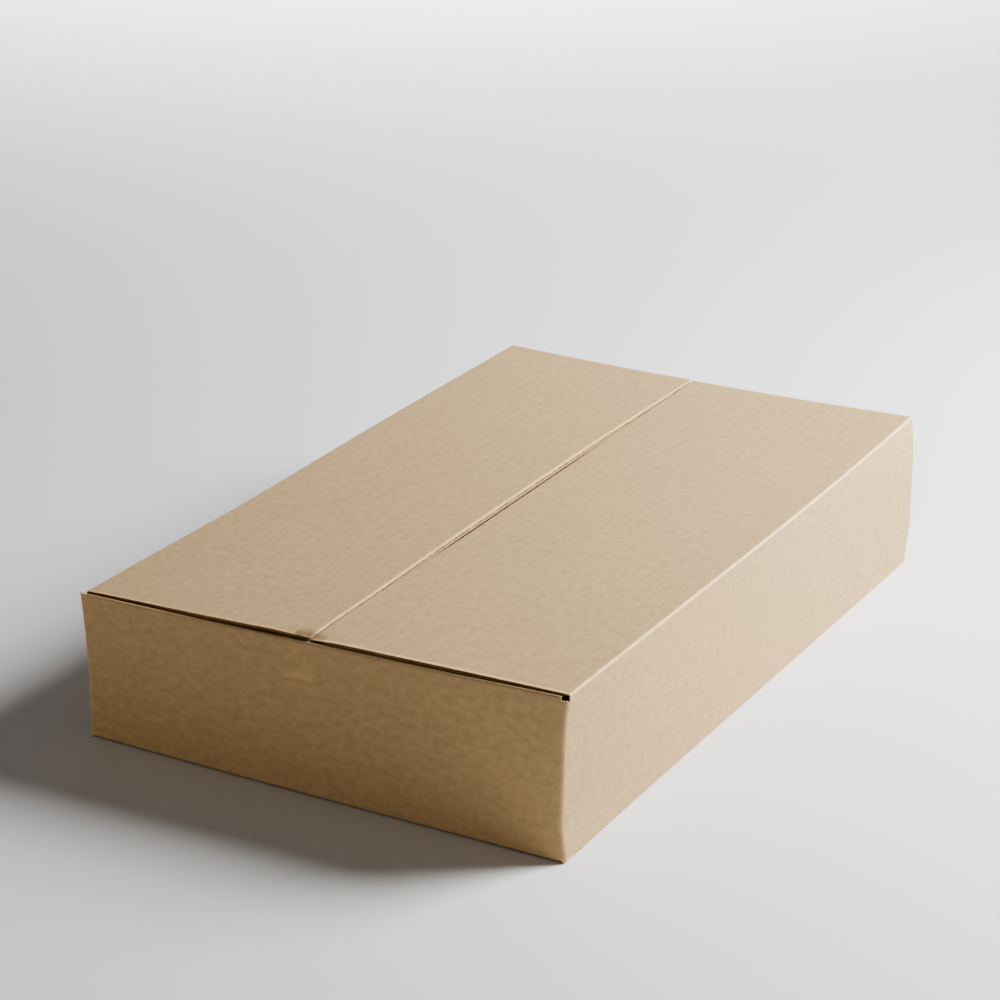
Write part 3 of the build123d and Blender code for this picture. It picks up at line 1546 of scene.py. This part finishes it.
@dataclass(frozen=True)
class KraftFinish:
    """Finish of one paper of the board.

    Mapped papers lie on the sheet's own places, with ribs and scuffing that also paints highlights. The
    others have plain pulp.
    """

    name: str
    colour: Colour
    fleck: Colour
    # Colour of scuffed paper, which also paints the highlight of creases and cut edges
    rubbed_and_highlight: Colour
    roughness: float
    # Strengths of the pulp's clouds, streaks, specks and stray fibres
    cloud: float = 0.07
    streak: float = 0.05
    speck: float = 0.46
    fleck_share: float = 0.45
    # Strengths of scuffing with its painted highlight, ribs, the paper's tooth and the mark at the seam
    # with its painted shade
    wear_and_highlight: float = 0.95
    ribs: float = 0.10
    grain: float = 0.12
    trace: float = 0.0
    mapped: bool = True
    # Tones over which the roughness swings, its swing, the sheen and the depth of the relief
    tones: Span = (0.85, 1.15)
    rough_swing: float = 0.04
    specular: float = 0.28
    bump: float = 0.1 * MM

    def material(self, groups: Groups, board: Board) -> bpy.types.Material:
        """Builds the paper's material.

        Args:
            groups: Shared node groups.
            board: The board, for the pitch of its ribs.

        Returns:
            The material.
        """
        paper = bpy.data.materials.new(self.name)
        paper.use_nodes = True
        paper.diffuse_color = (*self.colour, 1.0)
        bench = NodeBench(paper.node_tree)
        shader = paper.node_tree.nodes["Principled BSDF"]
        if self.mapped:
            place = bench.add("ShaderNodeAttribute", attribute_name="sheet").outputs["Vector"]
        else:
            place = bench.add("ShaderNodeTexCoord").outputs["Object"]
        strengths = {"Cloud": self.cloud, "Streak": self.streak, "Speck": self.speck}
        pulp = bench.group(groups.pulp, Vector=place, **strengths)
        colour = bench.mix(1.0, self.colour, bench.grey(pulp["Tone"]), "MULTIPLY")
        colour = bench.mix(bench.maths("MULTIPLY", pulp["Fleck"], self.fleck_share), colour, self.fleck)
        height = bench.maths("MULTIPLY", pulp["Height"], self.grain)
        if self.trace:
            rest = bench.add("ShaderNodeAttribute", attribute_name="rest").outputs["Vector"]
            trace = bench.group(groups.trace, Vector=rest, Amount=self.trace)
            # The mark's tone, with painted shade on the flaps' pressed tips
            colour = bench.mix(1.0, colour, bench.grey(trace["Tone"]), "MULTIPLY")
        if self.mapped:
            wear_and_highlight = bench.add("ShaderNodeAttribute", attribute_name="wear_and_highlight").outputs["Fac"]
            mask = bench.group(groups.rubbed_and_highlight, Vector=place, Wear_and_highlight=wear_and_highlight, Amount=self.wear_and_highlight)["Mask"]
            if self.trace:
                mask = bench.maths("MULTIPLY", mask, bench.maths("SUBTRACT", 1.0, trace["Cover"]))
            # Scuffed colour, which also paints the highlight of creases and cut edges
            colour = bench.mix(mask, colour, self.rubbed_and_highlight)
            ribs = bench.group(groups.ribs, Vector=place, Pitch=board.flute_pitch)["Height"]
            height = bench.maths("ADD", height, bench.maths("MULTIPLY", ribs, self.ribs))
        bench.join(colour, shader.inputs["Base Color"])
        rough = (self.roughness + self.rough_swing, self.roughness - self.rough_swing)
        bench.join(bench.span(pulp["Tone"], self.tones, rough), shader.inputs["Roughness"])
        shader.inputs["Specular IOR Level"].default_value = self.specular
        bump = bench.fed("ShaderNodeBump", {"Distance": self.bump, "Height": height})
        bench.join(bump.outputs["Normal"], shader.inputs["Normal"])
        return paper


@dataclass
class Papers:
    """The board's papers as materials, in the order of their slots."""

    groups: Groups
    board: Board
    finishes: dict[Paper, KraftFinish] = field(
        default_factory=lambda: {
            Paper.OUTER: KraftFinish(
                "kraft_outer",
                colour=(0.505, 0.36, 0.207),
                fleck=(0.36, 0.25, 0.145),
                # Scuffed colour, also the painted highlight along the creases and flap edges
                rubbed_and_highlight=(0.88, 0.63, 0.36),
                roughness=0.80,
                trace=1.0,
            ),
            Paper.INNER: KraftFinish(
                "kraft_inner",
                colour=(0.46, 0.33, 0.205),
                fleck=(0.33, 0.22, 0.13),
                rubbed_and_highlight=(0.54, 0.41, 0.27),
                roughness=0.86,
                wear_and_highlight=0.2,
            ),
            Paper.CUT: KraftFinish(
                "kraft_cut",
                colour=(0.56, 0.42, 0.26),
                fleck=(0.40, 0.28, 0.18),
                # Scuffed colour, also the painted highlight along the cut edges
                rubbed_and_highlight=(0.74, 0.535, 0.315),
                roughness=0.92,
                ribs=0.0,
                trace=1.0,
            ),
            Paper.SHADED_HOLLOW: KraftFinish(
                "kraft_hollow_painted_shade",
                # Kraft darkened as painted shade inside the hollows
                colour=(0.26, 0.175, 0.10),
                fleck=(0.205, 0.137, 0.077),
                rubbed_and_highlight=(0.33, 0.22, 0.13),
                roughness=0.94,
                wear_and_highlight=0.0,
                ribs=0.0,
            ),
            Paper.FLUTING: KraftFinish(
                "kraft_fluting",
                # The medium's duller tone, darkened further as painted shade in the gaps
                colour=(0.22, 0.149, 0.087),
                fleck=(0.17, 0.115, 0.066),
                rubbed_and_highlight=(0.28, 0.19, 0.115),
                roughness=0.92,
                ribs=0.0,
                mapped=False,
            ),
        }
    )
    made: dict[Paper, bpy.types.Material] = field(default_factory=dict)

    def build(self) -> None:
        """Makes the materials."""
        for paper, finish in self.finishes.items():
            self.made[paper] = finish.material(self.groups, self.board)

    def dress(self, piece: bpy.types.Object) -> None:
        """Gives a board piece its papers, which the fluting isn't one of.

        Args:
            piece: The piece.
        """
        piece.data.materials.clear()
        for paper in (Paper.OUTER, Paper.INNER, Paper.CUT, Paper.SHADED_HOLLOW):
            piece.data.materials.append(self.made[paper])


@dataclass
class CartonBody:
    """The folded sheet without its outer top flaps: walls, inner flaps, base and glue lap."""

    sizes: CartonSizes
    slump: Slump
    # Spacing of rows and columns, steps round a fold, and the first step from an edge
    wall_step: float = 6.0 * MM
    panel_step: float = 8.0 * MM
    fold_steps: int = 6
    fine_step: float = 3.0 * MM
    # Columns of a slot: how near its cut edge the last one stands, and the share of the first
    slot_edge: float = 0.3 * MM
    slot_share: float = 0.4
    # How far the base folds and the inner flaps' folds are rubbed
    base_rub: float = 0.3
    inner_rub: float = 0.1
    stance: Stance = Stance(lift=0.95, bead=1.0, flare=1.0)

    @property
    def end_section(self) -> Section:
        """Section of an end wall, whose folds lie one board inside the outer flaps.

        Returns:
            The wall with the folds of its base flap and its inner top flap.
        """
        sizes = self.sizes
        climb = sizes.board.thickness + sizes.base_room - sizes.base_level
        return Section(
            Fold(sizes.wall_foot, sizes.end_crease, -1, climb, rub_and_highlight=self.base_rub),
            Fold(sizes.wall_top, sizes.end_crease, 1, -sizes.end_dip, sizes.dip_run, rub_and_highlight=self.inner_rub),
        )

    @property
    def long_section(self) -> Section:
        """Section of a long wall below its outer top flap."""
        return Section(base=Fold(self.sizes.crease, self.sizes.crease, -1, rub_and_highlight=self.base_rub))

    def plan(self) -> list[Run]:
        """The sheet's run from the glue lap round to the raw edge.

        Returns:
            One run for each stretch of the sheet.
        """
        sizes = self.sizes
        half_x, half_y, turn = sizes.length / 2, sizes.width / 2, sizes.upright
        lap_x = half_x - sizes.board.thickness - sizes.lap_room
        quarter = turn * math.pi / 2
        far_length = sizes.width - turn - sizes.raw_gap
        east, north, west, south = 0.0, math.pi / 2, math.pi, -math.pi / 2
        return [
            Run((lap_x, half_y - turn - sizes.lap), north, sizes.lap),
            Run((lap_x, half_y - turn), north, quarter, turn),
            Run((lap_x - turn, half_y), west, lap_x + half_x - 2 * turn, section=self.long_section),
            Run((turn - half_x, half_y), west, quarter, turn),
            Run((-half_x, half_y - turn), south, sizes.width - 2 * turn, section=self.end_section),
            Run((-half_x, turn - half_y), south, quarter, turn),
            Run((turn - half_x, -half_y), east, sizes.length - 2 * turn, section=self.long_section),
            Run((half_x - turn, -half_y), east, quarter, turn),
            Run((half_x, turn - half_y), north, far_length, section=self.end_section),
        ]

    def wall_rows(self) -> Rows:
        """Rows of a wall between the ends of the slots.

        Returns:
            Rows with their places on the sheet.
        """
        foot, top = self.sizes.wall_foot, self.sizes.wall_top
        places = stations(top - foot, self.wall_step, (self.sizes.board.edge_band, self.fine_step))
        return [(("wall", i), foot + place) for i, place in enumerate(places)]

    def flap_rows(self, fold: Fold, label: str) -> Rows:
        """Rows of a fold and the flap beyond it, outwards from the wall.

        Args:
            fold: The fold.
            label: Name of the flap's rows.

        Returns:
            Rows with their places on the sheet.
        """
        rows = fold.rows(f"{label}_fold", self.fold_steps)
        reach = self.sizes.flap_depth - fold.radius
        places = stations(reach, self.panel_step, (self.sizes.board.edge_band, self.fine_step))
        for i, place in enumerate(places[1:], 1):
            rows.append(((label, i), fold.start + fold.rise * (fold.arc + place)))
        return rows

    def panel_rows(self, section: Section) -> Rows:
        """All rows of a panel, from the lowest flap's edge to the highest.

        Args:
            section: The panel's section.

        Returns:
            Rows with their places on the sheet.
        """
        rows = self.wall_rows()
        if section.base:
            lower = self.flap_rows(section.base, "base")
            if abs(section.base.start - self.sizes.wall_foot) < HAIR:
                lower = lower[1:]
            rows = lower[::-1] + rows
        if section.top:
            rows = rows + self.flap_rows(section.top, "top")[1:]
        return rows

    def web_rows(self, ear: float = 0.0) -> Rows:
        """Wall rows between two slots, down to the base.

        Args:
            ear: How far the two highest rows are raised, where the slot isn't cut right down.

        Returns:
            Rows with their places on the sheet.
        """
        rows = self.wall_rows()
        rows[0] = (rows[0][0], self.sizes.base_level)
        for place in (-2, -1):
            rows[place] = (rows[place][0], rows[place][1] + ear)
        return rows

    def columns_of(self, run: Run, first: float, stretch: Stretch) -> list[Column]:
        """Columns of one run of the plan.

        Args:
            run: The run.
            first: Where it begins along the plan.
            stretch: Its place in the plan.

        Returns:
            Its columns, both ends included.
        """
        sizes = self.sizes
        band = sizes.board.edge_band
        ear = sizes.ear if stretch in (Stretch.REAR_FOLD, Stretch.NEAR_WALL) else 0.0
        notch = -sizes.notch if stretch in (Stretch.NEAR_WALL, Stretch.FRONT_FOLD) else 0.0
        # An upright fold
        if run.radius:
            places = [run.length * i / self.fold_steps for i in range(self.fold_steps + 1)]
            ears = [0.0] + [ear + notch] * self.fold_steps
            return [Column(first + place, self.web_rows(rise)) for place, rise in zip(places, ears)]
        # The glue lap
        if stretch is Stretch.LAP:
            places = stations(run.length, self.panel_step, (band,))
            return [Column(first + place, self.lap_rows(place)) for place in places]
        # A wall with its flaps between two slots
        last = stretch is Stretch.FAR_WALL
        if run.section.top:
            head = sizes.slot - sizes.upright
            tail = sizes.slot - (sizes.raw_gap if last else sizes.upright)
        else:
            head = tail = sizes.base_setback - sizes.upright
        heads = (0.0, self.slot_share, 1 - self.slot_edge / head)
        tails = (self.slot_edge / tail, 1 - band / tail if last else 1 - self.slot_share, 1.0)
        rows = self.panel_rows(run.section)
        columns = [Column(first + head * share, self.web_rows(ear)) for share in heads]
        middle = stations(run.length - head - tail, self.panel_step, (band, self.fine_step))
        columns += [Column(first + head + place, rows) for place in middle]
        edge = first + run.length - tail
        return columns + [Column(edge + tail * share, self.web_rows(notch)) for share in tails]

    def lap_rows(self, along: float) -> Rows:
        """Rows of the glue lap, which narrows towards its free edge.

        Args:
            along: Place along the lap, from its free edge.

        Returns:
            Rows with their places on the sheet.
        """
        sizes = self.sizes
        middle = sizes.height / 2
        share = 1 - 2 * sizes.lap_taper / (sizes.wall_top - sizes.base_level) * (1 - along / sizes.lap)
        return [(key, middle + (v - middle) * share) for key, v in self.web_rows()]

    def sheet(self) -> FoldedSheet:
        """Lays out the sheet and folds it.

        Returns:
            The folded sheet.
        """
        plan = self.plan()
        sheet = FoldedSheet("carton_body", self.sizes.board, plan)
        first = 0.0
        top_key = self.wall_rows()[-1][0]
        for stretch, run in zip(Stretch, plan):
            columns = self.columns_of(run, first, stretch)
            kept = len(sheet.columns)
            if kept and not run.radius:
                sheet.columns[-1] = columns[0]
            sheet.columns += columns if not kept else columns[1:]
            if run.section.base and not run.section.top:
                start = max(kept - 1, 0)
                sheet.closed |= {(i, top_key) for i in range(start, len(sheet.columns))}
            first += run.length
        sheet.fold_up()
        return sheet

    def flute_paths(self, sheet: FoldedSheet) -> list[FlutePath]:
        """Free edges of the inner flaps and the base flaps, cut across their flutes.

        Args:
            sheet: The folded sheet.

        Returns:
            A path for each edge, without its ends.
        """
        paths = []
        for label, rise in (("base", -1), ("top", 1)):
            line: list[Place] = []
            for column in sheet.columns + [Column(0.0, [])]:
                ends = [v for key, v in column.rows if key[0] == label]
                if ends:
                    line.append((column.u, max(ends) if rise > 0 else min(ends)))
                elif line:
                    paths.append(FlutePath.along(sheet, line[1:-1], rise))
                    line = []
        return paths

    def build(self, papers: Papers) -> list[bpy.types.Object]:
        """Makes the folded sheet and the fluting in its cut edges.

        Args:
            papers: The board's papers.

        Returns:
            The sheet and its fluting.
        """
        sheet = self.sheet()
        piece = sheet.mesh_object(self.slump, self.stance)
        core = FlutedCore("carton_fluting", self.sizes.board, self.flute_paths(sheet))
        fluting = core.build(papers.groups.core, papers.made[Paper.FLUTING], self.slump, self.stance)
        return [piece, fluting]

    def flap_first(self, side: Side) -> float:
        """Where a long side's outer flap begins, so that its paper runs on from its wall.

        Args:
            side: The long side.

        Returns:
            The flap's place along the plan.
        """
        runs = self.plan()
        stretch = Stretch.FRONT_WALL if side is Side.FRONT else Stretch.REAR_WALL
        wall = runs[stretch]
        gone = math.cos(wall.heading) * (self.sizes.flap_start(side) - wall.start[0])
        return sum(run.length for run in runs[:stretch]) + gone

    def dress(self, papers: Papers) -> list[bpy.types.Object]:
        """Builds the pieces, gives them their papers and sets them on the carton's body.

        Args:
            papers: The board's papers.

        Returns:
            The sheet and its fluting.
        """
        piece, fluting = self.build(papers)
        papers.dress(piece)
        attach(piece, BODY)
        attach(fluting, BODY)
        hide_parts("carton_body")
        return [piece, fluting]


@dataclass
class OuterFlap:
    """An outer top flap with its crease and the strip of wall that it bends from."""

    side: Side
    sizes: CartonSizes
    slump: Slump
    first: float
    # Spacing, steps round the crease, and places along it that the bend is fitted to
    panel_step: float = 8.0 * MM
    fold_steps: int = 8
    bend_places: int = 9
    # Closer columns at the ends, closer rows at the free edge, and the column that fluting begins at
    end_edge: float = 0.3 * MM
    end_fine: tuple[float, ...] = (1.2 * MM, 2 * MM, 4 * MM, 7 * MM)
    tip_fine: Span = (1.5 * MM, 3 * MM)
    fluting_from: int = 5
    # Share of the thickness left at the ends, and the bands of the ends and the free edge, scuffed and
    # lightened as painted highlights
    pinch: float = 0.63
    end_wear_and_highlight: float = 1.8 * MM
    front_wear_and_highlight: float = 1.0
    rear_wear_and_highlight: float = 0.4
    rear_tip: float = 1.3 * MM
    # Rise of the rear flap along the seam, and dip of the tips at its near end
    rear_proud: float = 1.0 * MM
    pressed: float = 1.1 * MM

    @property
    def stance(self) -> Stance:
        """The flap's own rises: the rear one stands a little proud at the seam."""
        proud = self.rear_proud if self.side is Side.REAR else 0.0
        return Stance(proud=proud, pressed=self.pressed)

    @property
    def node(self) -> str:
        """Name of the flap's CAD node, and of its body."""
        return f"{self.side.name.lower()}_flap"

    @property
    def fold(self) -> Fold:
        """The flap's crease, whose round is fully scuffed and lightened as its painted highlight."""
        return Fold(self.sizes.height - self.sizes.crease, self.sizes.crease, 1)

    def run(self) -> Run:
        """The flap's long wall, walked with the outside on the right.

        Returns:
            The run, with the flap's crease at its top.
        """
        sizes = self.sizes
        heading = 0.0 if self.side is Side.FRONT else math.pi
        start = (sizes.flap_start(self.side), self.side.value * sizes.width / 2)
        length = sizes.length - sizes.flap_inset - sizes.far_inset
        return Run(start, heading, length, section=Section(top=self.fold))

    def reach(self, along: float) -> float:
        """Depth of the flap past its crease, with its tips rounded.

        Args:
            along: Place along the flap.

        Returns:
            The depth on the sheet.
        """
        sizes = self.sizes
        run = self.run()
        x, _ = run.point(along, 0.0)
        depth = sizes.width / 2 - self.side.value * sizes.seam(x) - sizes.gap(x) / 2
        end = min(along, run.length - along)
        if end < sizes.tip_round:
            depth -= sizes.tip_round - math.sqrt(sizes.tip_round**2 - (sizes.tip_round - end) ** 2)
        return depth - sizes.crease

    @property
    def rubbing_and_highlight(self) -> RubAndHighlight:
        """How the flap is scuffed, and where its painted highlights lie.

        Returns:
            Bands along both flaps' ends, and along the rear one's free edge too.
        """
        if self.side is Side.FRONT:
            return RubAndHighlight(end=self.end_wear_and_highlight, end_share=self.front_wear_and_highlight)
        return RubAndHighlight(end=self.end_wear_and_highlight, end_share=self.rear_wear_and_highlight, tip=self.rear_tip)

    def sheet(self) -> FoldedSheet:
        """Lays out the flap and folds it.

        Returns:
            The folded flap.
        """
        sizes = self.sizes
        run = self.run()
        fold = self.fold
        band = sizes.board.edge_band
        sheet = FoldedSheet(self.node, sizes.board, [run], self.first, self.pinch, rubbing_and_highlight=self.rubbing_and_highlight)
        depth = sizes.flap_depth
        places = stations(depth, self.panel_step, (band, *self.tip_fine))
        for along in stations(run.length, self.panel_step, (self.end_edge, band, *self.end_fine)):
            rows = [(("wall", 0), sizes.wall_top), (("wall", 1), fold.start - band)]
            rows += fold.rows("crease_fold", self.fold_steps)
            reach = self.reach(along)
            for i, place in enumerate(places[1:], 1):
                rows.append((("flap", i), fold.start + fold.arc + reach * (place / depth)))
            sheet.columns.append(Column(sheet.first + along, rows))
        sheet.closed = {(i, ("wall", 0)) for i in range(len(sheet.columns))}
        sheet.fold_up()
        return sheet

    def build(self, papers: Papers) -> list[bpy.types.Object]:
        """Makes the flap and the fluting in its seam edge.

        Args:
            papers: The board's papers.

        Returns:
            The flap and its fluting.
        """
        sheet = self.sheet()
        piece = sheet.mesh_object(self.slump, self.stance)
        cut = sheet.columns[self.fluting_from : -self.fluting_from]
        line = [(column.u, column.rows[-1][1]) for column in cut]
        core = FlutedCore(f"{self.node}_fluting", self.sizes.board, [FlutePath.along(sheet, line, 1)])
        fluting = core.build(papers.groups.core, papers.made[Paper.FLUTING], self.slump, self.stance)
        return [piece, fluting]

    def bend(self) -> tuple[Point, Point]:
        """Places between which the crease bends, along the straight line nearest to the slumped crease.

        Returns:
            The start on the wall and the end on the flap.
        """
        sizes, side = self.sizes, self.side.value
        along = np.linspace(-0.5, 0.5, self.bend_places) * sizes.length
        edge = np.full_like(along, side * sizes.width / 2)
        crease = np.column_stack((along, edge, np.full_like(along, sizes.height)))
        shift = self.slump.move(crease, self.stance) - crease
        tilt, offset = np.polyfit(along, shift[:, 2] - side * shift[:, 1], 1)
        start = Vector((0, side * (sizes.width - offset) / 2, sizes.height - sizes.crease + offset / 2))
        end = start + sizes.crease * Vector((-tilt, -side, 1))
        return tuple(start), tuple(end)

    def dress(self, papers: Papers) -> list[bpy.types.Object]:
        """Builds the pieces, gives them their papers, hides the CAD flap and sets the fluting on the
        flap's body.

        Args:
            papers: The board's papers.

        Returns:
            The flap and its fluting.
        """
        piece, fluting = self.build(papers)
        papers.dress(piece)
        self.bend()
        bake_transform(piece)
        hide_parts(self.node)
        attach(fluting, self.node)
        return [piece, fluting]


@dataclass(frozen=True)
class Lamp:
    """A soft area lamp."""

    name: str
    place: Point
    size: float
    power: float
    colour: Colour
    aim: Point = (0.0, 0.0, 0.04)
    spread: float = 180.0

    def build(self) -> None:
        """Adds the lamp, turned to its aim."""
        light = bpy.data.lights.new(self.name, "AREA")
        light.shape = "DISK"
        light.size = self.size
        light.spread = math.radians(self.spread)
        light.energy = self.power
        light.color = self.colour
        lamp = bpy.data.objects.new(self.name, light)
        lamp.location = self.place
        lamp.rotation_euler = (Vector(self.aim) - Vector(self.place)).to_track_quat("-Z", "Y").to_euler()
        bpy.context.scene.collection.objects.link(lamp)


@dataclass(frozen=True)
class Studio:
    """Pale floor, soft lamps and the camera at the photograph's angle."""

    # Camera: turn and tilt in degrees, distance and shifts in metres, and its lens
    azimuth: float = -60.81
    elevation: float = 21.61
    distance: float = 1.4366
    aside: float = -0.0166
    raise_by: float = 0.0354
    focal_pixels: float = 2838.0
    image_pixels: float = 1000.0
    sensor: float = 36.0
    aim: Point = (0.0, 0.0, 0.04)
    # Floor, surround and lamps
    floor_size: float = 12.0
    floor_colour: Colour = (0.78, 0.775, 0.765)
    floor_roughness: float = 0.95
    floor_specular: float = 0.1
    world_colour: Colour = (0.86, 0.84, 0.82)
    world_strength: float = 0.14
    lamps: tuple[Lamp, ...] = (
        Lamp("key", (0.60, -0.77, 0.77), 0.7, 30.0, (0.96, 0.98, 1.0)),
        Lamp("fill", (-1.5, 0.6, 0.10), 1.0, 5.6, (1.0, 0.94, 0.86)),
        Lamp("backdrop", (2.3, 1.4, 2.2), 1.2, 45.0, (0.97, 0.98, 1.0), (2.1, 1.2, 0.0), 80.0),
    )

    def build_floor(self) -> None:
        """Adds the pale floor."""
        half = self.floor_size / 2
        mesh = bpy.data.meshes.new("floor")
        corners = [(-half, -half, 0), (half, -half, 0), (half, half, 0), (-half, half, 0)]
        mesh.from_pydata(corners, [], [(0, 1, 2, 3)])
        floor = bpy.data.objects.new("floor", mesh)
        bpy.context.scene.collection.objects.link(floor)
        paint = bpy.data.materials.new("pale_floor")
        paint.use_nodes = True
        shader = paint.node_tree.nodes["Principled BSDF"]
        shader.inputs["Base Color"].default_value = (*self.floor_colour, 1.0)
        shader.inputs["Roughness"].default_value = self.floor_roughness
        shader.inputs["Specular IOR Level"].default_value = self.floor_specular
        mesh.materials.append(paint)

    def build_lights(self) -> None:
        """Adds the lamps and the pale surround."""
        world = bpy.data.worlds.new("surround")
        bpy.context.scene.world = world
        world.use_nodes = True
        back = world.node_tree.nodes["Background"]
        back.inputs["Color"].default_value = (*self.world_colour, 1.0)
        back.inputs["Strength"].default_value = self.world_strength
        for lamp in self.lamps:
            lamp.build()

    def build_camera(self) -> None:
        """Adds the camera and makes it the scene's own."""
        turn, tilt = math.radians(self.azimuth), math.radians(self.elevation)
        level = math.cos(tilt)
        back = Vector((math.sin(turn) * level, -math.cos(turn) * level, math.sin(tilt)))
        right = Vector((math.cos(turn), math.sin(turn), 0.0))
        up = back.cross(right)
        lens = bpy.data.cameras.new("camera")
        lens.sensor_width = self.sensor
        lens.lens = self.focal_pixels / self.image_pixels * self.sensor
        camera = bpy.data.objects.new("camera", lens)
        place = Vector(self.aim) + back * self.distance + right * self.aside + up * self.raise_by
        facing = Matrix((right, up, back)).transposed().to_4x4()
        camera.matrix_world = Matrix.Translation(place) @ facing
        bpy.context.scene.collection.objects.link(camera)
        bpy.context.scene.camera = camera

    def build(self) -> None:
        """Sets up the studio."""
        self.build_floor()
        self.build_lights()
        self.build_camera()
        view = bpy.context.scene.view_settings
        view.view_transform = "AgX"
        view.look = "AgX - High Contrast"


def write_sizes() -> None:
    """Updates the view layer."""
    bpy.context.view_layer.update()


def main() -> None:
    """Builds the carton, its flaps and the studio."""
    logging.basicConfig(level=logging.INFO, format="%(name)s: %(message)s")
    sizes = CartonSizes.from_frame()
    slump = Slump(sizes)
    papers = Papers(Groups(sizes), sizes.board)
    papers.build()
    body = CartonBody(sizes, slump)
    flaps = [OuterFlap(side, sizes, slump, body.flap_first(side)) for side in Side]
    for assembly in (body, *flaps):
        for piece in assembly.dress(papers):
            log.info("%s: %d faces", piece.name, len(piece.data.polygons))
    Studio().build()
    write_sizes()


if __name__ == "__main__":
    main()
